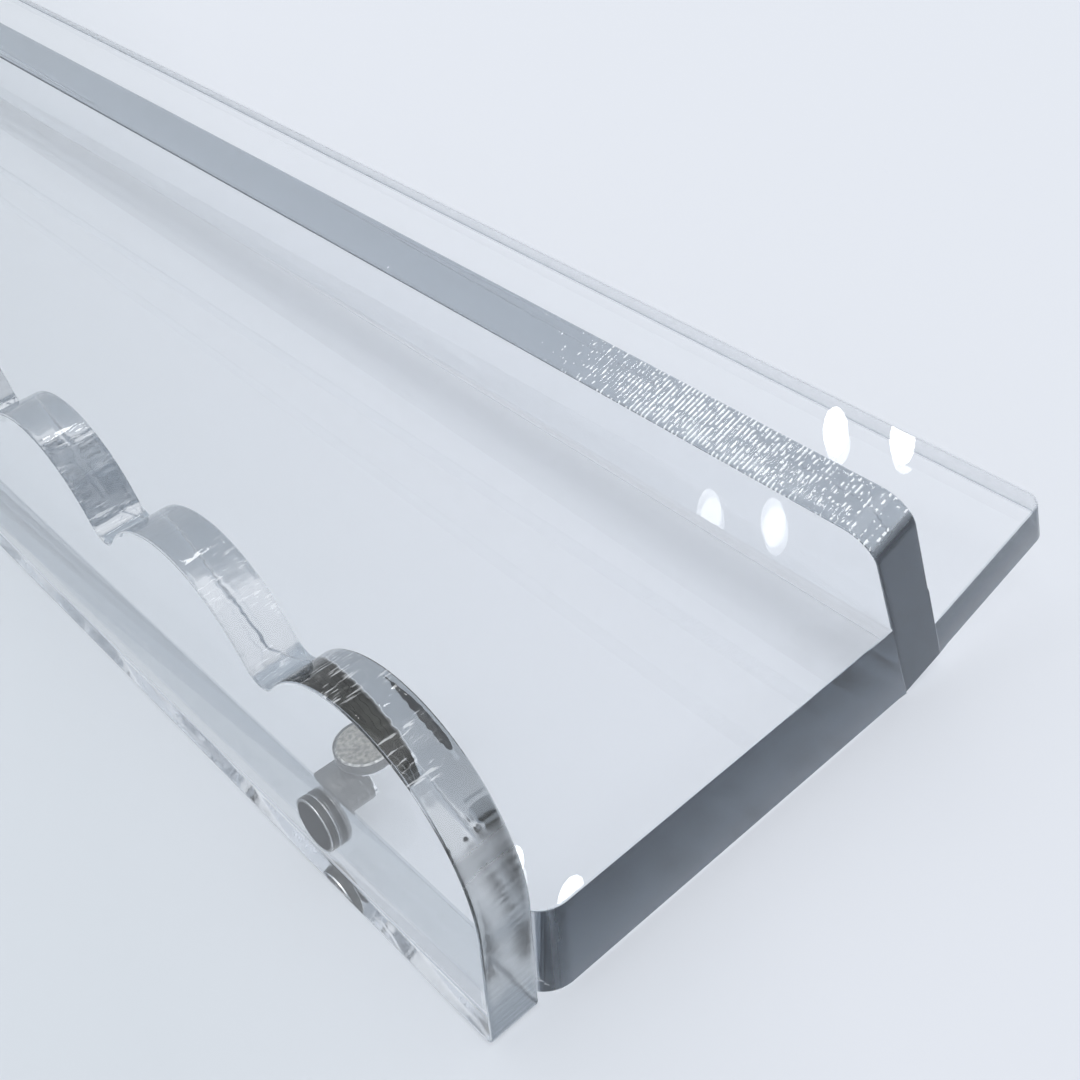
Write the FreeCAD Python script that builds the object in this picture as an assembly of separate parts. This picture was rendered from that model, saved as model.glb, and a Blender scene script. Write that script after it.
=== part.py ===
import FreeCAD, Part
import math
import os

# Plate display stand: a clear base plate, a leaning rear fin with a ledge
# behind it, and a scalloped front wall held on by magnets.
# X runs along the stand, Y from the front wall to the rear ledge, Z is up.
# The origin is the centre of the base plate's underside.

# Driving dimensions, millimetres and degrees
base_length = 293.0
base_depth = 40.0
base_thickness = 10.0
sheet = 4.8
wall_sheet = 4.6
corner_radius = 3.0
ledge_corner_radius = 1.5
front_lean = 4.0
fin_lean = 16.5
fin_height = 22.7
fin_step = 0.3
ledge_reach = 15.7
hump_count = 12
hump_pitch = 24.2
hump_radius = 13.1
crest_height = 25.0
notch_radius = 2.2
foot_radius = 0.8
wall_gap = 0.1
magnet_diameter = 5.0
magnet_edge = 0.3
pocket_clearance = 0.1
magnet_inset = 22.3
magnet_height = 5.0
base_magnet_length = 4.0
wall_magnet_length = 3.0
top_magnet_length = 2.0
top_magnet_setback = 5.4

# Derived sizes
half_base = base_length / 2
half_wall = (hump_radius * 2 + hump_pitch * (hump_count - 1)) / 2
front_y = -base_depth / 2
rear_y = base_depth / 2
fin_angle = math.radians(fin_lean)
wall_angle = math.radians(front_lean)
magnet_x = half_base - magnet_inset

# Directions in the end view
fin_up = FreeCAD.Vector(0, -math.sin(fin_angle), math.cos(fin_angle))
fin_back = FreeCAD.Vector(0, math.cos(fin_angle), math.sin(fin_angle))
wall_up = FreeCAD.Vector(0, math.sin(wall_angle), math.cos(wall_angle))
wall_out = FreeCAD.Vector(0, -math.cos(wall_angle), math.sin(wall_angle))
along = FreeCAD.Vector(1, 0, 0)

# Corner lines in the end view
front_foot = FreeCAD.Vector(0, front_y, 0)
fin_foot = FreeCAD.Vector(0, rear_y + base_thickness * math.tan(fin_angle), 0)


def face_of(points):
    """Flat face with the given corner points."""
    return Part.Face(Part.makePolygon(points + [points[0]]))


def round_edges(solid, direction, radius, keep):
    """Round the straight edges that run along a direction and pass a test."""
    chosen = []
    for edge in solid.Edges:
        run = edge.Vertexes[-1].Point - edge.Vertexes[0].Point
        if run.Length > 0.1 and abs(run.normalize().dot(direction)) > 0.999:
            if keep(edge.CenterOfMass):
                chosen.append(edge)
    return solid.makeFillet(radius, chosen)


def magnet_front(side):
    """Centre of the joint face where a front pair of magnets meets."""
    return front_foot + wall_up * magnet_height + along * (side * magnet_x)


def magnet_top(side):
    """Centre of the upper face of a magnet let into the top of the base."""
    return FreeCAD.Vector(side * magnet_x, front_y + top_magnet_setback, base_thickness)


def pocket(start, direction, length):
    """Round blind pocket that starts just outside a face."""
    radius = (magnet_diameter + pocket_clearance) / 2
    return Part.makeCylinder(radius, length + 1.0, start - direction, direction)


def magnet(start, direction, length):
    """Disc magnet with softened rims."""
    disc = Part.makeCylinder(magnet_diameter / 2, length, start, direction)
    return disc.makeFillet(magnet_edge, [e for e in disc.Edges if e.Closed])


def base_plate():
    lean_run = base_thickness * math.tan(wall_angle)
    corners = [
        front_foot,
        FreeCAD.Vector(0, front_y + lean_run, base_thickness),
        FreeCAD.Vector(0, rear_y, base_thickness),
        fin_foot,
    ]
    section = face_of([c - along * half_base for c in corners])
    solid = section.extrude(along * base_length)
    solid = round_edges(solid, wall_up, corner_radius, lambda c: c.y < 0)
    for side in (-1, 1):
        solid = solid.cut(pocket(magnet_front(side), wall_out * -1, base_magnet_length))
        down = FreeCAD.Vector(0, 0, -1)
        solid = solid.cut(pocket(magnet_top(side), down, top_magnet_length))
    return solid


def rear_fin():
    foot = fin_foot + fin_up * fin_step
    head = fin_foot + fin_up * fin_height
    corners = [foot, foot + fin_back * sheet, head + fin_back * sheet, head]
    section = face_of([c - along * half_base for c in corners])
    solid = section.extrude(along * base_length)
    return round_edges(solid, fin_back, corner_radius, lambda c: c.z > base_thickness)


def rear_ledge():
    start = fin_foot + fin_up * fin_step + fin_back * sheet
    end = start + fin_back * ledge_reach
    corners = [start, end, end + fin_up * sheet, start + fin_up * sheet]
    section = face_of([c - along * half_base for c in corners])
    solid = section.extrude(along * base_length)
    middle = (start + end) * 0.5
    return round_edges(solid, fin_up, ledge_corner_radius, lambda c: c.y > middle.y)


def wall_point(x, height):
    """Point on the wall's inner face, by length and by height up the lean."""
    return front_foot + wall_out * wall_gap + along * x + wall_up * height


def wall_arc(x, height, radius, start, end):
    """Arc on the wall's inner face about a centre, between two angles in radians."""
    points = []
    for angle in (start, (start + end) / 2, end):
        run = x + radius * math.cos(angle)
        rise = height + radius * math.sin(angle)
        points.append(wall_point(run, rise))
    return Part.Arc(*points).toShape()


def wall_line(x1, height1, x2, height2):
    return Part.LineSegment(wall_point(x1, height1), wall_point(x2, height2)).toShape()


def scallop_edges():
    """Upper outline of the wall: round humps joined by small hollow notches."""
    hump_height = crest_height - hump_radius
    reach = hump_radius + notch_radius
    rise = math.sqrt(reach ** 2 - (hump_pitch / 2) ** 2)
    meet = math.atan2(rise, hump_pitch / 2)
    edges = []
    for i in range(hump_count):
        x = hump_radius - half_wall + hump_pitch * i
        start = math.pi if i == 0 else math.pi - meet
        end = 0.0 if i == hump_count - 1 else meet
        edges.append(wall_arc(x, hump_height, hump_radius, start, end))
        if i < hump_count - 1:
            notch_x = x + hump_pitch / 2
            low = math.pi + meet
            high = 2 * math.pi - meet
            edges.append(wall_arc(notch_x, hump_height + rise, notch_radius, low, high))
    return edges


def front_wall():
    """Scalloped strip; its edges are cut level, so its foot is flat when it leans."""
    shoulder = crest_height - hump_radius
    inner = half_wall - foot_radius
    outline = scallop_edges()
    outline.append(wall_line(half_wall, shoulder, half_wall, foot_radius))
    outline.append(wall_arc(inner, foot_radius, foot_radius, 0, -math.pi / 2))
    outline.append(wall_line(inner, 0, -inner, 0))
    outline.append(wall_arc(-inner, foot_radius, foot_radius, -math.pi / 2, -math.pi))
    outline.append(wall_line(-half_wall, foot_radius, -half_wall, shoulder))
    face = Part.Face(Part.Wire(outline))
    solid = face.extrude(FreeCAD.Vector(0, -wall_sheet / math.cos(wall_angle), 0))
    for side in (-1, 1):
        joint = magnet_front(side) + wall_out * wall_gap
        solid = solid.cut(pocket(joint, wall_out, wall_magnet_length))
    return solid


def base_magnet(side):
    return magnet(magnet_front(side), wall_out * -1, base_magnet_length)


def wall_magnet(side):
    joint = magnet_front(side) + wall_out * wall_gap
    return magnet(joint, wall_out, wall_magnet_length)


def top_magnet(side):
    return magnet(magnet_top(side), FreeCAD.Vector(0, 0, -1), top_magnet_length)


pieces = {
    "base_plate": base_plate(),
    "front_wall": front_wall(),
    "rear_fin": rear_fin(),
    "rear_ledge": rear_ledge(),
}
for name, side in (("right", 1), ("left", -1)):
    pieces["base_magnet_" + name] = base_magnet(side)
    pieces["wall_magnet_" + name] = wall_magnet(side)
    pieces["top_magnet_" + name] = top_magnet(side)

os.makedirs("parts", exist_ok=True)
for name, shape in pieces.items():
    shape.exportStep("parts/" + name + ".step")
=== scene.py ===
import math

import bmesh
import bpy
from mathutils import Matrix, Vector, noise


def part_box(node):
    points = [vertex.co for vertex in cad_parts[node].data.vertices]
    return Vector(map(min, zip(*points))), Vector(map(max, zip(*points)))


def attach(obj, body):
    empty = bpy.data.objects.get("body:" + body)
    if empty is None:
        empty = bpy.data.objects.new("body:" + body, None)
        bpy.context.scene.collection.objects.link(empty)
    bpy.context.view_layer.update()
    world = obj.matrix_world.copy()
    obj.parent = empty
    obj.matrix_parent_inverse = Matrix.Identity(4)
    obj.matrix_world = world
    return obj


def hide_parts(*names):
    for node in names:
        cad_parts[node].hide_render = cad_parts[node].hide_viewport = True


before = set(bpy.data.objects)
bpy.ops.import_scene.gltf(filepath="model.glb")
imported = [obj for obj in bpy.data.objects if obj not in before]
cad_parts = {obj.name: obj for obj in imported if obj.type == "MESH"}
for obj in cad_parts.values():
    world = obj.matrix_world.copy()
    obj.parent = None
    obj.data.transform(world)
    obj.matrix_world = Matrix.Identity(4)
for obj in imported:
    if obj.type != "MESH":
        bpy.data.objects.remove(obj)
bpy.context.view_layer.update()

# Plate display stand in clear acrylic: base plate, leaning rear fin with a ledge
# behind it, and a scalloped front wall held on by disc magnets.
# Metres, in the CAD frame: X along the stand, Y from front to rear, Z up.

MM = 0.001

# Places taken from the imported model
base_low, base_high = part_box("base_plate")
wall_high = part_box("front_wall")[1]

# Sizes of the acrylic pieces
half_base = base_high.x
half_wall = wall_high.x
base_thickness = base_high.z
sheet = 4.8 * MM
wall_sheet = 4.6 * MM
front_lean = math.radians(4.0)
fin_lean = math.radians(16.5)
corner_radius = 3.0 * MM
ledge_corner_radius = 1.5 * MM
fin_height = 22.7 * MM
fin_step = 0.3 * MM
ledge_reach = 15.7 * MM
hump_count = 12
hump_pitch = 24.2 * MM
hump_radius = 13.1 * MM
crest_height = 25.0 * MM
notch_radius = 2.2 * MM
foot_radius = 0.8 * MM
wall_gap = 0.1 * MM
joint_gap = 0.02 * MM
arris = 0.18 * MM
contact_arris = 0.02 * MM
seam_band = 0.9 * MM
cement_top = base_thickness + 0.4 * MM

# How finely the edges are meshed
BEND_STEPS = 3
EDGE_ROWS = 10
CORNER_STEP = 0.2 * MM
FIN_CORNER_STEP = 0.15 * MM
LEDGE_CORNER_STEP = 0.12 * MM
SCALLOP_STEP = 0.14 * MM
FIN_TOP_STEP = 0.115 * MM
PLAIN_STEP = 2.0 * MM

# Pitch of the saw marks across the fin's top edge, millimetres
SAW_PITCH = 0.46

# Finish of each kind of edge, from 0 for a polished face to 1 for a plain sawn edge; from 0.8 up the
# finish also darkens the edge colour as painted shade
POLISHED = 0.0
CUT_FINISH = 0.35
HAZY_FINISH = 0.5
END_FINISH = 0.7
SHADED_END_FINISH = 0.8
SAWN_AND_SHADED_FINISH = 1.0

# Materials of a magnet, in the order its piece holds them
SIDE, FACE, RIM = 0, 1, 2

# Sizes of the magnets
magnet_radius = 2.5 * MM
magnet_edge = 0.30 * MM
pocket_radius = 2.48 * MM
pocket_floor_gap = 0.03 * MM
magnet_height = 5.0 * MM
base_magnet_length = 4.0 * MM
wall_magnet_length = 3.0 * MM
top_magnet_length = 2.0 * MM
magnet_x = half_base - 22.3 * MM
top_magnet_y = base_low.y + 5.4 * MM

# Directions in the end view
along = Vector((1, 0, 0))
level_out = Vector((0, -1, 0))
fin_up = Vector((0, -math.sin(fin_lean), math.cos(fin_lean)))
fin_back = Vector((0, math.cos(fin_lean), math.sin(fin_lean)))
wall_up = Vector((0, math.sin(front_lean), math.cos(front_lean)))
wall_out = Vector((0, -math.cos(front_lean), math.sin(front_lean)))
front_foot = Vector((0, base_low.y, 0))
fin_foot = Vector((0, base_high.y, 0))
rear_y = base_high.y - base_thickness * math.tan(fin_lean)


# Outlines ------------------------------------------------------------------

def arc_points(cx, cy, radius, start, end, step):
    """Points about one step apart along an arc, without its last point."""
    count = max(3, round(abs(end - start) * radius / step))
    points = []
    for i in range(count):
        angle = start + (end - start) * i / count
        points.append((cx + radius * math.cos(angle), cy + radius * math.sin(angle)))
    return points


def line_points(x1, y1, x2, y2, step):
    """Points about one step apart along a line, without its last point."""
    count = max(1, round(math.hypot(x2 - x1, y2 - y1) / step))
    return [(x1 + (x2 - x1) * i / count, y1 + (y2 - y1) * i / count) for i in range(count)]


def outward(outline, i):
    """Outward direction at a point of a counter-clockwise outline."""
    before = outline[i - 1]
    after = outline[(i + 1) % len(outline)]
    run = Vector((after[0] - before[0], after[1] - before[1])).normalized()
    return Vector((run.y, -run.x))


# Mesh building ---------------------------------------------------------------

def fill(bm, loops, level=POLISHED):
    """Fill a flat face with triangles between its outer loop and any holes."""
    finish = bm.faces.layers.float.get("cut") or bm.faces.layers.float.new("cut")
    edges = []
    for loop in loops:
        for here, after in zip(loop, loop[1:] + loop[:1]):
            edges.append(bm.edges.get((here, after)) or bm.edges.new((here, after)))
    made = bmesh.ops.triangle_fill(bm, use_beauty=True, use_dissolve=False, edges=edges)
    for item in made["geom"]:
        if isinstance(item, bmesh.types.BMFace):
            item.smooth = False
            item[finish] = level


def rim_profile(depth, radius, rows):
    """Inset and depth of each point across an edge, with both arrises rounded."""
    start = []
    for j in range(BEND_STEPS + 1):
        angle = math.pi / 2 * j / BEND_STEPS
        start.append((radius * (1 - math.sin(angle)), radius * (1 - math.cos(angle))))
    middle = [(0.0, radius + (depth - 2 * radius) * m / rows) for m in range(1, rows)]
    end = [(inset, depth - t) for inset, t in reversed(start)]
    return start + middle + end


def edge_finish(start, end, foot, crown, side):
    """Finish of one stretch of edge: the outline's foot or crown, or a cut edge turning to an end."""
    level_run = 0.95
    turn_start = 0.80
    turn_length = 0.18
    run = Vector((end[0] - start[0], end[1] - start[1])).normalized()
    if run.x > level_run:
        return foot
    if run.x < -level_run:
        return crown
    share = min(1.0, max(0.0, (abs(run.y) - turn_start) / turn_length))
    return CUT_FINISH + (side - CUT_FINISH) * share


def slab_columns(bm, outline, depth, place, radius_at, relief, rows):
    """Columns of vertices across the edge; relief fades out where the flat faces begin."""
    columns = []
    travel = 0.0
    for i, (u, v) in enumerate(outline):
        out = outward(outline, i)
        before = outline[i - 1]
        travel += math.hypot(u - before[0], v - before[1])
        column = []
        for inset, t in rim_profile(depth, radius_at(u, v), rows):
            on_face = t == 0.0 or t == depth
            inward = inset if on_face else inset + relief(u, v, t, travel)
            spot = place(u - out.x * inward, v - out.y * inward, t)
            column.append(bm.verts.new(spot))
        columns.append(column)
    return columns


def never(i, j):
    """Leave no quad out."""
    return False


def join_columns(bm, columns, outline, foot=CUT_FINISH, crown=CUT_FINISH, side=END_FINISH, skip=never):
    """Smooth quads between neighbouring columns, marked with how their edge was cut."""
    finish = bm.faces.layers.float.get("cut") or bm.faces.layers.float.new("cut")
    count = len(columns)
    for i in range(count):
        here = columns[i]
        after = columns[(i + 1) % count]
        level = edge_finish(outline[i], outline[(i + 1) % count], foot, crown, side)
        for j in range(len(here) - 1):
            if not skip(i, j):
                quad = bm.faces.new((here[j], after[j], after[j + 1], here[j + 1]))
                quad.smooth = True
                quad[finish] = level


def pocket_ring(bm, centre, side, rise, inward, length, segments=64):
    """Blind round pocket; returns the loop of its mouth."""
    mouth = []
    floor = []
    for i in range(segments):
        angle = 2 * math.pi * i / segments
        offset = (side * math.cos(angle) + rise * math.sin(angle)) * pocket_radius
        mouth.append(bm.verts.new(centre + offset))
        floor.append(bm.verts.new(centre + offset + inward * (length - pocket_floor_gap)))
    for i in range(segments):
        k = (i + 1) % segments
        bm.faces.new((mouth[i], mouth[k], floor[k], floor[i])).smooth = True
    bm.faces.new(floor).smooth = False
    return mouth


def finish_mesh(bm, name, sharp_angle=35.0):
    """Turn the faces outward, keep real corners crisp, and make the object."""
    bmesh.ops.recalc_face_normals(bm, faces=bm.faces)
    limit = math.radians(sharp_angle)
    for edge in bm.edges:
        if len(edge.link_faces) == 2 and edge.calc_face_angle() > limit:
            edge.smooth = False
    mesh = bpy.data.meshes.new(name)
    bm.to_mesh(mesh)
    bm.free()
    piece = bpy.data.objects.new(name, mesh)
    bpy.context.scene.collection.objects.link(piece)
    return piece


def no_relief(u, v, t, travel):
    """Plain smooth edge."""
    return 0.0


def plain_arris(u, v):
    """The same small rounding all the way around."""
    return arris


def magnet_front(side):
    """Centre of the joint face where a front pair of magnets meets."""
    return front_foot + wall_up * magnet_height + along * (side * magnet_x)


# Acrylic pieces ---------------------------------------------------------------

def place_on_base(u, v, t):
    """Plan point at a height; the front edge leans in and the rear edge leans out."""
    share = (v - front_foot.y) / (rear_y - front_foot.y)
    lean_in = t * math.tan(front_lean) * (1 - share)
    lean_out = (base_thickness - t) * math.tan(fin_lean) * share
    return Vector((u, v + lean_in + lean_out, t))


def base_radius(u, v):
    """The rear end is cemented to the fin, so its arrises stay sharp."""
    return contact_arris if v > rear_y - seam_band / 2 else arris


def front_of_base(i, j):
    """The long front quad, which is filled around its magnet pockets instead."""
    return i == 0 and j == BEND_STEPS


def build_base_plate():
    """Base plate with blind pockets in its top and front for the magnets."""
    x = half_base
    front = front_foot.y
    rear = rear_y - joint_gap
    inner = x - corner_radius
    turn = front + corner_radius
    outline = [(-inner, front)]
    outline += arc_points(inner, turn, corner_radius, -math.pi / 2, 0, CORNER_STEP)
    outline += [(x, turn), (x, rear - seam_band), (x, rear), (-x, rear), (-x, rear - seam_band)]
    outline += arc_points(-inner, turn, corner_radius, math.pi, math.pi * 1.5, CORNER_STEP)
    bm = bmesh.new()
    columns = slab_columns(bm, outline, base_thickness, place_on_base, base_radius, no_relief, 1)
    join_columns(bm, columns, outline, SAWN_AND_SHADED_FINISH, POLISHED, skip=front_of_base)
    across = Vector((0, 1, 0))
    down = Vector((0, 0, -1))
    top_mouths = []
    front_mouths = []
    for side in (-1, 1):
        top = Vector((side * magnet_x, top_magnet_y, base_thickness))
        top_mouths.append(pocket_ring(bm, top, along, across, down, top_magnet_length))
        spot = magnet_front(side)
        front_mouths.append(pocket_ring(bm, spot, along, wall_up, -wall_out, base_magnet_length))
    fill(bm, [[c[0] for c in columns]])
    fill(bm, [[c[-1] for c in columns]] + top_mouths)
    left, right = columns[0], columns[1]
    low, high = BEND_STEPS, BEND_STEPS + 1
    front_face = [left[low], right[low], right[high], left[high]]
    fill(bm, [front_face] + front_mouths, SAWN_AND_SHADED_FINISH)
    return finish_mesh(bm, "clear_base_plate")


def scallop_outline(step):
    """Wall outline, counter-clockwise from the foot's left end, humps on top."""
    shoulder = crest_height - hump_radius
    reach = hump_radius + notch_radius
    rise = math.sqrt(reach ** 2 - (hump_pitch / 2) ** 2)
    meet = math.atan2(rise, hump_pitch / 2)
    inner = half_wall - foot_radius
    points = line_points(-inner, 0, inner, 0, PLAIN_STEP)
    points += arc_points(inner, foot_radius, foot_radius, -math.pi / 2, 0, step)
    points += line_points(half_wall, foot_radius, half_wall, shoulder, step)
    for i in reversed(range(hump_count)):
        x = hump_radius - half_wall + hump_pitch * i
        start = 0.0 if i == hump_count - 1 else meet
        end = math.pi if i == 0 else math.pi - meet
        points += arc_points(x, shoulder, hump_radius, start, end, step)
        if i > 0:
            notch_x = x - hump_pitch / 2
            low = 2 * math.pi - meet
            high = math.pi + meet
            points += arc_points(notch_x, shoulder + rise, notch_radius, low, high, step)
    points += line_points(-half_wall, shoulder, -half_wall, foot_radius, step)
    points += arc_points(-inner, foot_radius, foot_radius, math.pi, math.pi * 1.5, step)
    return points


def place_on_wall(u, v, t):
    """Point of the leaning wall; its edges run level through the thickness."""
    start = front_foot + wall_out * wall_gap
    return start + along * u + wall_up * v + level_out * (t / math.cos(front_lean))


def scallop_relief(u, v, t, travel):
    """Striations left by the cutter on the wall's scalloped edge, stronger in patches."""
    if v < 1.0 * MM:
        return 0.0
    streak_height = 0.014
    grain_height = 0.018
    mean_height = 0.024
    s = travel / MM
    depth = t / MM
    worn = noise.noise(Vector((s * 0.16, 3.7, 0.0))) + 0.5
    patch = 0.35 + 0.65 * min(1.0, max(0.0, worn))
    streak = noise.noise(Vector((s * 2.4, depth * 0.12, 8.1)))
    grain = noise.noise(Vector((s * 1.9, depth * 1.6, 21.0)))
    height = (streak_height * streak + grain_height * grain) * patch
    return (mean_height + height) * MM


def build_front_wall():
    """Scalloped wall with blind pockets in its inner face."""
    bm = bmesh.new()
    outline = scallop_outline(SCALLOP_STEP)
    place = place_on_wall
    columns = slab_columns(bm, outline, wall_sheet, place, plain_arris, scallop_relief, EDGE_ROWS)
    join_columns(bm, columns, outline, SAWN_AND_SHADED_FINISH, side=SHADED_END_FINISH)
    mouths = []
    for side in (-1, 1):
        joint = magnet_front(side) + wall_out * wall_gap
        mouths.append(pocket_ring(bm, joint, along, wall_up, wall_out, wall_magnet_length))
    fill(bm, [[c[0] for c in columns]] + mouths)
    fill(bm, [[c[-1] for c in columns]])
    return finish_mesh(bm, "clear_front_wall")


def place_on_fin(u, v, t):
    """Point of the fin, which leans forward from the base's lower rear edge."""
    return fin_foot + along * u + fin_up * v + fin_back * t


def sawn_relief(u, v, t, travel):
    """Fine ridges across the fin's top edge, strongest towards the right end."""
    if v < fin_height - 1.0 * MM:
        return 0.0
    ridge_height = 0.020
    s = u / MM
    depth = t / MM
    strong = min(1.0, max(0.0, (s - 90.0) / 26.0))
    breaks = 0.75 + 0.7 * noise.noise(Vector((s * 1.7, depth * 0.8, 17.0)))
    amount = (0.10 + 0.90 * strong) * min(1.0, max(0.0, breaks))
    ridge = 0.5 - 0.5 * math.cos(2 * math.pi * s / SAW_PITCH)
    roll = 0.5 + 0.5 * noise.noise(Vector((s * 0.5, depth * 0.9, 30.0)))
    roll_height = 0.004 + 0.014 * strong
    return (ridge_height * ridge * amount + roll_height * roll) * MM


def fin_radius(u, v):
    """The fin's lower part is cemented to the base, so its arrises stay sharp there."""
    return contact_arris if v < base_thickness + 0.5 * MM else arris


def build_rear_fin():
    """Leaning fin with rounded upper corners and a sawn top edge."""
    x = half_base
    top = fin_height
    inner = x - corner_radius
    turn = top - corner_radius
    above = cement_top + 0.2 * MM
    outline = [(-x, fin_step), (x, fin_step), (x, cement_top), (x, above)]
    outline += arc_points(inner, turn, corner_radius, 0, math.pi / 2, FIN_CORNER_STEP)
    outline += line_points(inner, top, -inner, top, FIN_TOP_STEP)
    outline += arc_points(-inner, turn, corner_radius, math.pi / 2, math.pi, FIN_CORNER_STEP)
    outline += [(-x, turn), (-x, above), (-x, cement_top)]
    bm = bmesh.new()
    columns = slab_columns(bm, outline, sheet, place_on_fin, fin_radius, sawn_relief, EDGE_ROWS)
    join_columns(bm, columns, outline, SAWN_AND_SHADED_FINISH)
    fill(bm, [[c[0] for c in columns]])
    fill(bm, [[c[-1] for c in columns]])
    return finish_mesh(bm, "clear_rear_fin")


def place_on_ledge(u, v, t):
    """Point of the ledge, which stands square to the fin's rear face."""
    start = fin_foot + fin_up * fin_step + fin_back * sheet
    return start + along * u + fin_back * v + fin_up * t


def ledge_radius(u, v):
    """The edge cemented to the fin stays sharp."""
    return contact_arris if v < 1.0 * MM else arris


def build_rear_ledge():
    """Ledge behind the fin, with small rounded rear corners and a hazy rear edge."""
    x = half_base
    reach = ledge_reach
    radius = ledge_corner_radius
    inner = x - radius
    turn = reach - radius
    foot_band = 1.2 * MM
    outline = [(-x, joint_gap), (x, joint_gap), (x, foot_band)]
    outline += arc_points(inner, turn, radius, 0, math.pi / 2, LEDGE_CORNER_STEP)
    outline += line_points(inner, reach, -inner, reach, PLAIN_STEP)
    outline += arc_points(-inner, turn, radius, math.pi / 2, math.pi, LEDGE_CORNER_STEP)
    outline += [(-x, turn), (-x, foot_band)]
    bm = bmesh.new()
    columns = slab_columns(bm, outline, sheet, place_on_ledge, ledge_radius, no_relief, 2)
    join_columns(bm, columns, outline, POLISHED, HAZY_FINISH, SHADED_END_FINISH)
    fill(bm, [[c[0] for c in columns]])
    fill(bm, [[c[-1] for c in columns]])
    return finish_mesh(bm, "clear_rear_ledge")


# Magnets ------------------------------------------------------------------------

def magnet_profile(length, dish, collar):
    """Radius, height and material of each ring, from the centre of one face to the other."""
    r = magnet_radius
    rim = magnet_edge
    groove = 0.03 * MM
    groove_pitch = 0.5 * MM
    points = [(0.0, dish, FACE), (r - 2.2 * rim, dish, FACE), (r - 1.8 * rim, 0.0, FACE)]
    points.append((r - rim, 0.0, RIM))
    if collar:
        points += [(r - 0.45 * rim, 0.5 * rim, SIDE), (r - 0.12 * rim, 0.0, SIDE)]
    else:
        points.append((r - 0.3 * rim, 0.3 * rim, RIM))
    points.append((r, 0.1 * rim if collar else rim, SIDE))
    turns = max(2, round((length - 2 * rim) / groove_pitch))
    for i in range(1, turns):
        z = rim + (length - 2 * rim) * i / turns
        points += [(r, z - groove, SIDE), (r - groove, z, SIDE), (r, z + groove, SIDE)]
    points += [(r, length - rim, SIDE), (r - 0.3 * rim, length - 0.3 * rim, SIDE)]
    points += [(r - rim, length, SIDE), (0.0, length, SIDE)]
    return points


def build_magnet(name, centre, axis, length, dish, collar=False):
    """Turned disc magnet, from its outer face at centre along its axis."""
    segments = 72
    bm = bmesh.new()
    profile = magnet_profile(length, dish, collar)
    rings = []
    for radius, z, part in profile:
        if radius == 0.0:
            rings.append([bm.verts.new((0, 0, z))])
            continue
        ring = []
        for i in range(segments):
            angle = 2 * math.pi * i / segments
            ring.append(bm.verts.new((radius * math.cos(angle), radius * math.sin(angle), z)))
        rings.append(ring)
    for low, high, (radius, z, part) in zip(rings, rings[1:], profile):
        for i in range(segments):
            k = (i + 1) % segments
            if len(low) == 1:
                face = bm.faces.new((low[0], high[i], high[k]))
            elif len(high) == 1:
                face = bm.faces.new((low[i], low[k], high[0]))
            else:
                face = bm.faces.new((low[i], low[k], high[k], high[i]))
            face.smooth = len(low) > 1 and len(high) > 1
            face.material_index = part
    piece = finish_mesh(bm, name, 25.0)
    turn = axis.to_track_quat("Z", "Y").to_matrix().to_4x4()
    piece.matrix_world = Matrix.Translation(centre) @ turn
    return piece


# Materials ------------------------------------------------------------------------

def node_material(name):
    """New node material; returns it with its tree, shader and output."""
    material = bpy.data.materials.new(name)
    material.use_nodes = True
    tree = material.node_tree
    shader = tree.nodes["Principled BSDF"]
    output = tree.nodes["Material Output"]
    return material, tree, shader, output


def noise_node(tree, scale, detail=3.0):
    """Even noise in object coordinates."""
    place = tree.nodes.new("ShaderNodeTexCoord")
    texture = tree.nodes.new("ShaderNodeTexNoise")
    texture.inputs["Scale"].default_value = scale
    texture.inputs["Detail"].default_value = detail
    tree.links.new(place.outputs["Object"], texture.inputs["Vector"])
    return texture.outputs["Fac"]


def bump_node(tree, height, strength, distance):
    """Bump from a height value; returns the bent normal."""
    bump = tree.nodes.new("ShaderNodeBump")
    bump.inputs["Strength"].default_value = strength
    bump.inputs["Distance"].default_value = distance
    tree.links.new(height, bump.inputs["Height"])
    return bump.outputs["Normal"]


def ramp_node(tree, value, stops):
    """Colour ramp over a value, from (position, colour) stops."""
    ramp = tree.nodes.new("ShaderNodeValToRGB")
    elements = ramp.color_ramp.elements
    while len(elements) < len(stops):
        elements.new(1.0)
    for element, (position, colour) in zip(elements, stops):
        element.position = position
        element.color = (*colour, 1.0)
    tree.links.new(value, ramp.inputs["Fac"])
    return ramp.outputs["Color"]


def range_node(tree, value, low, high, start=0.0, end=1.0):
    """Map a value from one range to another."""
    node = tree.nodes.new("ShaderNodeMapRange")
    node.inputs["From Min"].default_value = start
    node.inputs["From Max"].default_value = end
    node.inputs["To Min"].default_value = low
    node.inputs["To Max"].default_value = high
    tree.links.new(value, node.inputs["Value"])
    return node.outputs["Result"]


def math_node(tree, operation, first, second):
    """Arithmetic on two values, each a socket or a number; COMPARE allows a small margin."""
    compare_margin = 0.02
    node = tree.nodes.new("ShaderNodeMath")
    node.operation = operation
    node.inputs[2].default_value = compare_margin
    for socket, value in zip(node.inputs, (first, second)):
        if isinstance(value, (int, float)):
            socket.default_value = value
        else:
            tree.links.new(value, socket)
    return node.outputs[0]


def stretched_noise(tree, scale, detail):
    """Noise with its own scale along each object axis."""
    place = tree.nodes.new("ShaderNodeTexCoord")
    shape = tree.nodes.new("ShaderNodeMapping")
    shape.inputs["Scale"].default_value = scale
    texture = tree.nodes.new("ShaderNodeTexNoise")
    texture.inputs["Scale"].default_value = 1.0
    texture.inputs["Detail"].default_value = detail
    tree.links.new(place.outputs["Object"], shape.inputs["Vector"])
    tree.links.new(shape.outputs["Vector"], texture.inputs["Vector"])
    return texture.outputs["Fac"]


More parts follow.
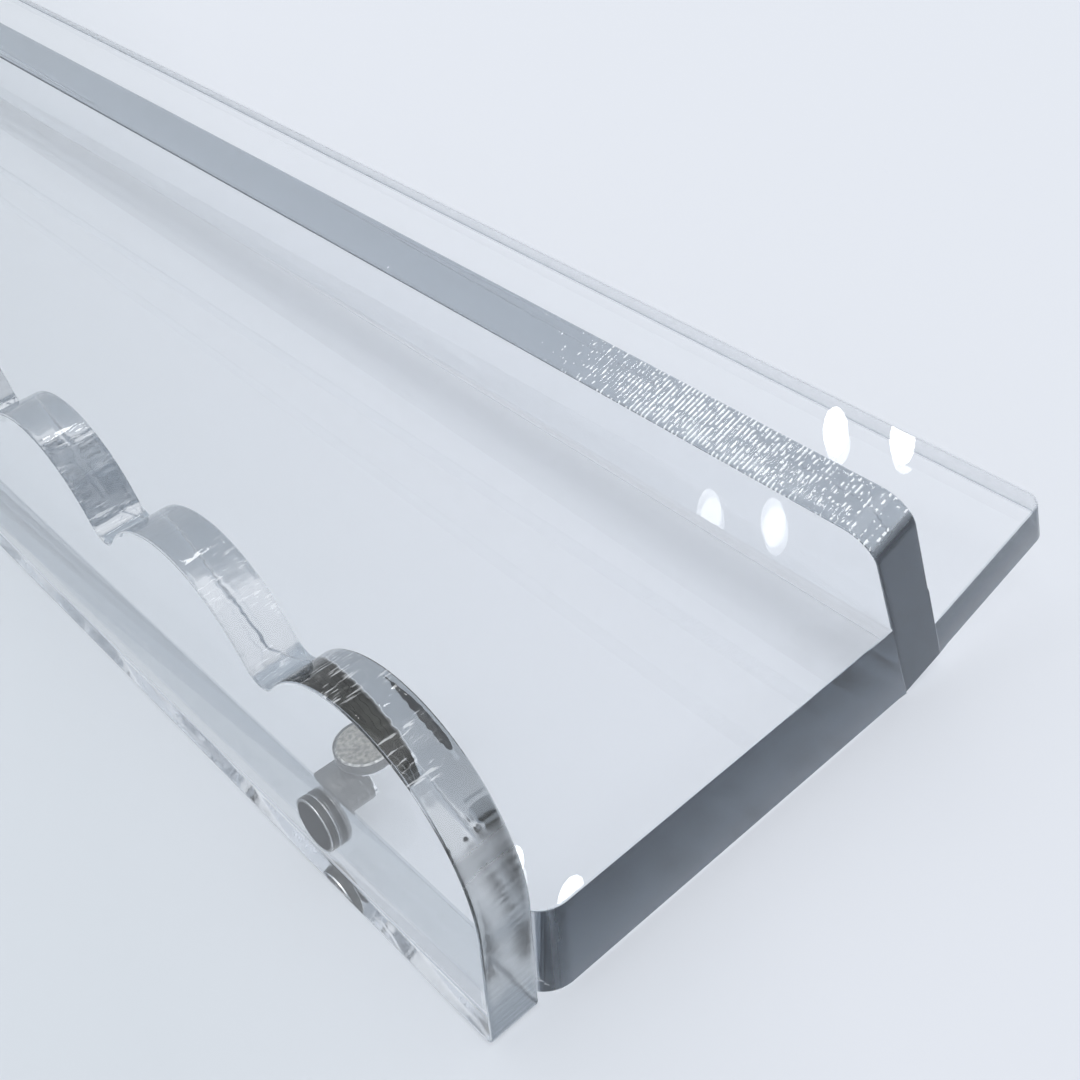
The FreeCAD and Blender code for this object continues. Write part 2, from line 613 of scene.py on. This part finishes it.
def streaks(tree, scale, stretch):
    """Fine noise drawn out through a sheet's thickness, like the track of a saw."""
    return stretched_noise(tree, (scale, stretch, scale), 1.0)


def object_axes(tree):
    """Object coordinates, split into their three values."""
    place = tree.nodes.new("ShaderNodeTexCoord")
    split = tree.nodes.new("ShaderNodeSeparateXYZ")
    tree.links.new(place.outputs["Object"], split.inputs["Vector"])
    return split.outputs


def saw_ridge_frost_and_glints(tree):
    """Evenly spaced frosted crests, only near the right end of an edge; partly frost, partly painted
    highlight for the lamps' glints on the saw ridges.
    """
    x = object_axes(tree)["X"]
    turns = math_node(tree, "MULTIPLY", x, 1.0 / (SAW_PITCH * MM))
    crest = range_node(tree, math_node(tree, "FRACT", turns, 0.0), 1.0, 0.0, 0.25, 0.50)
    rising = range_node(tree, x, -0.18, 0.20, 0.103, 0.124)
    falling = range_node(tree, x, 0.0, 0.15, 0.130, 0.146)
    bias = math_node(tree, "SUBTRACT", rising, falling)
    broken = math_node(tree, "ADD", streaks(tree, 2300.0, 1900.0), bias)
    patchy = range_node(tree, broken, 0.0, 1.0, 0.60, 0.68)
    return math_node(tree, "MULTIPLY", crest, patchy)


def cutter_frost_and_glints(tree):
    """Irregular fine frosted streaks, in patches; partly frost, partly painted highlight for glints on
    the cutter marks.
    """
    fine = range_node(tree, streaks(tree, 4200.0, 700.0), 0.0, 1.0, 0.58, 0.68)
    patchy = range_node(tree, streaks(tree, 230.0, 200.0), 0.0, 1.0, 0.50, 0.62)
    return math_node(tree, "MULTIPLY", fine, patchy)


def acrylic_material(name, frost_and_glints_on_edge, frost_and_painted_glint, density):
    """Clear cast acrylic: polished faces, hazier cut edges with marks, and a tint in its depth; the
    deep grey of the end and sawn edges is painted shade, and the frosted marks carry painted
    highlights.
    """
    material, tree, shader, output = node_material(name)
    shader.inputs["IOR"].default_value = 1.49
    cut = tree.nodes.new("ShaderNodeAttribute")
    cut.attribute_name = "cut"
    edge = math_node(tree, "COMPARE", cut.outputs["Fac"], CUT_FINISH)
    # Frosted marks drop the transmission, so they show as white matte dashes: painted highlight
    # standing in for glints, on top of the frost.
    frosted = math_node(tree, "MULTIPLY", frost_and_glints_on_edge(tree), edge)
    clear = range_node(tree, frosted, 1.0, 1.0 - frost_and_painted_glint)
    tree.links.new(clear, shader.inputs["Transmission Weight"])
    uneven = range_node(tree, noise_node(tree, 400.0), 0.93, 1.05)
    level = math_node(tree, "MULTIPLY", cut.outputs["Fac"], uneven)
    # Edges grow greyer with their level; the deep grey at the shaded end and sawn levels (0.8 and 1.0)
    # is painted shade, darkening what is seen through those edges.
    colour = ramp_node(tree, level, [
        (0.0, (0.99, 0.995, 1.0)),
        (0.35, (0.93, 0.945, 0.96)),
        (0.52, (0.86, 0.885, 0.91)),
        (0.70, (0.84, 0.87, 0.90)),
        (0.80, (0.60, 0.64, 0.675)),
        (1.0, (0.52, 0.57, 0.61)),
    ])
    tree.links.new(colour, shader.inputs["Base Color"])
    haze = ramp_node(tree, level, [
        (0.0, (0.0, 0.0, 0.0)),
        (0.35, (0.04, 0.04, 0.04)),
        (0.50, (0.35, 0.35, 0.35)),
        (0.70, (0.20, 0.20, 0.20)),
        (0.80, (0.22, 0.22, 0.22)),
        (1.0, (0.03, 0.03, 0.03)),
    ])
    tree.links.new(haze, shader.inputs["Roughness"])
    ripple = noise_node(tree, 55.0, 1.0)
    marks = noise_node(tree, 1600.0, 2.0)
    rough_edge = math_node(tree, "MULTIPLY", marks, math_node(tree, "MULTIPLY", level, 0.25))
    height = math_node(tree, "ADD", ripple, rough_edge)
    tree.links.new(bump_node(tree, height, 0.05, 0.02 * MM), shader.inputs["Normal"])
    depth = tree.nodes.new("ShaderNodeVolumeAbsorption")
    depth.inputs["Color"].default_value = (0.745, 0.768, 0.794, 1.0)
    depth.inputs["Density"].default_value = density
    tree.links.new(depth.outputs["Volume"], output.inputs["Volume"])
    return material


def nickel_material(name, light, metallic, smooth=0.30, turned=False):
    """Nickel plate, mottled at a fine scale or streaked around a turned side."""
    material, tree, shader, output = node_material(name)
    shader.inputs["Metallic"].default_value = metallic
    shader.inputs["Specular IOR Level"].default_value = 0.3
    even_scale = (2600.0, 2600.0, 2600.0)
    turned_scale = (450.0, 450.0, 3500.0)
    tone = stretched_noise(tree, turned_scale if turned else even_scale, 5.0)
    dark = [c * 0.35 for c in light]
    colour = ramp_node(tree, tone, [(0.40, dark), (0.60, light)])
    tree.links.new(colour, shader.inputs["Base Color"])
    rough = range_node(tree, tone, smooth, smooth + 0.20)
    tree.links.new(rough, shader.inputs["Roughness"])
    tree.links.new(bump_node(tree, tone, 0.5, 0.03 * MM), shader.inputs["Normal"])
    return material


def floor_material():
    """Pale matte floor, gently lit from below, with painted shade making it a little darker to the
    front left and in soft patches.
    """
    material, tree, shader, output = node_material("pale_floor")
    axes = object_axes(tree)
    # Painted shade: the floor colour darkens towards the front left and in broad soft patches.
    shade_slope = math_node(tree, "ADD", axes["X"], math_node(tree, "MULTIPLY", axes["Y"], 3.0))
    rise = range_node(tree, shade_slope, 0.0, 0.8, 0.0, 0.15)
    shade_patches = range_node(tree, noise_node(tree, 2.5, 2.0), 0.0, 0.2)
    colour = ramp_node(tree, math_node(tree, "ADD", rise, shade_patches), [
        (0.0, (0.27, 0.295, 0.315)),
        (1.0, (0.372, 0.380, 0.405)),
    ])
    tree.links.new(colour, shader.inputs["Base Color"])
    shader.inputs["Roughness"].default_value = 0.9
    shader.inputs["Emission Color"].default_value = (0.90, 0.94, 1.0, 1.0)
    shader.inputs["Emission Strength"].default_value = 0.385
    return material


# Assembly ----------------------------------------------------------------------------

def dress(piece, materials, body, node):
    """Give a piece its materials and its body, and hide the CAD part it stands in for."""
    for material in materials:
        piece.data.materials.append(material)
    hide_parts(node)
    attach(piece, body)


def build_acrylic():
    clear_base = [acrylic_material("clear_acrylic_base", cutter_frost_and_glints, 0.3, 20.0)]
    clear_wall = [acrylic_material("clear_acrylic_wall", cutter_frost_and_glints, 0.38, 20.0)]
    clear_fin = [acrylic_material("clear_acrylic_fin", saw_ridge_frost_and_glints, 0.85, 26.0)]
    dress(build_base_plate(), clear_base, "stand", "base_plate")
    dress(build_front_wall(), clear_wall, "front_wall", "front_wall")
    dress(build_rear_fin(), clear_fin, "stand", "rear_fin")
    dress(build_rear_ledge(), clear_fin, "stand", "rear_ledge")


def build_magnets():
    # The wall discs' side is a darker copy of the plated side: painted shade for the shade they sit in
    # within the wall.
    shaded_side = nickel_material("nickel_shaded_side", (0.07, 0.07, 0.06), 0.9, 0.20, True)
    side_plate = nickel_material("nickel_side", (0.15, 0.15, 0.142), 1.0, 0.14, True)
    # The top discs' dark collar ring and side paint the shadow in the gap around them.
    shaded_collar_side = nickel_material("nickel_shaded_collar", (0.07, 0.07, 0.068), 0.9, 0.25, True)
    # The discs' faces are painted near black: a painted reflection of dark surroundings.
    shaded_face = nickel_material("nickel_shaded_face", (0.012, 0.014, 0.016), 0.3)
    pale_face = nickel_material("nickel_pale_face", (0.27, 0.26, 0.225), 0.1)
    bright_rim = nickel_material("nickel_rim", (0.22, 0.22, 0.21), 0.9)
    edge_rim = nickel_material("nickel_edge", (0.80, 0.80, 0.77), 1.0)
    down = Vector((0, 0, -1))
    dish = 0.02 * MM
    for side, word in ((1, "right"), (-1, "left")):
        joint = magnet_front(side)
        outer = joint + wall_out * (wall_gap + wall_magnet_length)
        inner = joint - wall_out * base_magnet_length
        top = Vector((side * magnet_x, top_magnet_y, base_thickness))
        wall_disc = build_magnet("wall_disc_" + word, outer, -wall_out, wall_magnet_length, dish)
        base_disc = build_magnet("base_disc_" + word, inner, wall_out, base_magnet_length, dish)
        top_disc = build_magnet("top_disc_" + word, top, down, top_magnet_length, 0.0, True)
        hidden = [shaded_side, shaded_face, bright_rim]
        dress(wall_disc, hidden, "front_wall", "wall_magnet_" + word)
        inside = [side_plate, shaded_face, bright_rim]
        dress(base_disc, inside, "stand", "base_magnet_" + word)
        upper = [shaded_collar_side, pale_face, edge_rim]
        dress(top_disc, upper, "stand", "top_magnet_" + word)


def build_floor():
    """Round pale floor just under the stand."""
    floor_gap = 0.15 * MM
    bm = bmesh.new()
    bmesh.ops.create_circle(bm, cap_ends=True, segments=96, radius=6.0)
    for v in bm.verts:
        v.co.z = -floor_gap
    floor = finish_mesh(bm, "floor")
    floor.data.materials.append(floor_material())


def build_camera():
    """Close view from the front right, above the near end."""
    data = bpy.data.cameras.new("camera")
    data.sensor_width = 36.0
    data.lens = 48.338
    data.clip_start = 0.01
    data.clip_end = 30.0
    look = Vector((-0.6002966, 0.4516302, -0.6600562)).normalized()
    up = Vector((-0.4460587, 0.4959569, 0.7450224)).normalized()
    right = look.cross(up).normalized()
    turn = Matrix((right, right.cross(look), -look)).transposed()
    camera = bpy.data.objects.new("camera", data)
    bpy.context.scene.collection.objects.link(camera)
    camera.matrix_world = Matrix.Translation(Vector((195.374, -51.487, 96.822)) * MM) @ turn.to_4x4()
    bpy.context.scene.camera = camera


def build_world():
    """Soft studio dome, brightest overhead and dimmer towards the horizon and the left."""
    world = bpy.data.worlds.new("studio")
    bpy.context.scene.world = world
    world.use_nodes = True
    tree = world.node_tree
    place = tree.nodes.new("ShaderNodeTexCoord")
    split = tree.nodes.new("ShaderNodeSeparateXYZ")
    tree.links.new(place.outputs["Generated"], split.inputs["Vector"])
    colour = ramp_node(tree, split.outputs["Z"], [
        (0.0, (0.76, 0.785, 0.815)),
        (0.15, (0.86, 0.89, 0.925)),
        (0.5, (1.03, 1.06, 1.10)),
        (0.92, (1.14, 1.17, 1.22)),
        (0.96, (2.40, 2.44, 2.50)),
    ])
    strength = range_node(tree, split.outputs["X"], 0.80, 1.10, -1.0, 1.0)
    tree.links.new(colour, tree.nodes["Background"].inputs["Color"])
    tree.links.new(strength, tree.nodes["Background"].inputs["Strength"])


def build_lamps():
    """Four small tube lamps close above, whose reflections sparkle along the cut edges."""
    cluster = Vector((-69, 96, 351)) * MM
    width = 9.0 * MM
    height = 18.0 * MM
    radiance = 13.0
    target = Vector((half_base, base_high.y, base_high.z))
    tube_line = Vector((-0.45, 0.82, -0.35))
    for row in (-1, 1):
        for column in (-1, 1):
            data = bpy.data.lights.new("lamp", "AREA")
            data.shape = "ELLIPSE"
            data.size = width
            data.size_y = height
            data.energy = radiance * math.pi * math.pi / 4 * width * height
            lamp = bpy.data.objects.new("lamp", data)
            bpy.context.scene.collection.objects.link(lamp)
            spot = cluster + Vector((row * 12 + column * 10, row * 23 + column * 5, column * 4)) * MM
            back = (spot - target).normalized()
            side = tube_line.cross(back).normalized()
            turn = Matrix((side, back.cross(side), back)).transposed()
            lamp.matrix_world = Matrix.Translation(spot) @ turn.to_4x4()


def set_light_paths():
    """Enough bounces for light guided along the clear sheets."""
    scene = bpy.context.scene
    scene.cycles.max_bounces = 64
    scene.cycles.glossy_bounces = 64
    scene.cycles.transmission_bounces = 64
    scene.cycles.diffuse_bounces = 3
    scene.cycles.blur_glossy = 0.0
    scene.cycles.sample_clamp_indirect = 6.0
    scene.view_settings.view_transform = "Standard"


build_camera()
build_world()
build_lamps()
set_light_paths()
build_floor()
build_acrylic()
build_magnets()
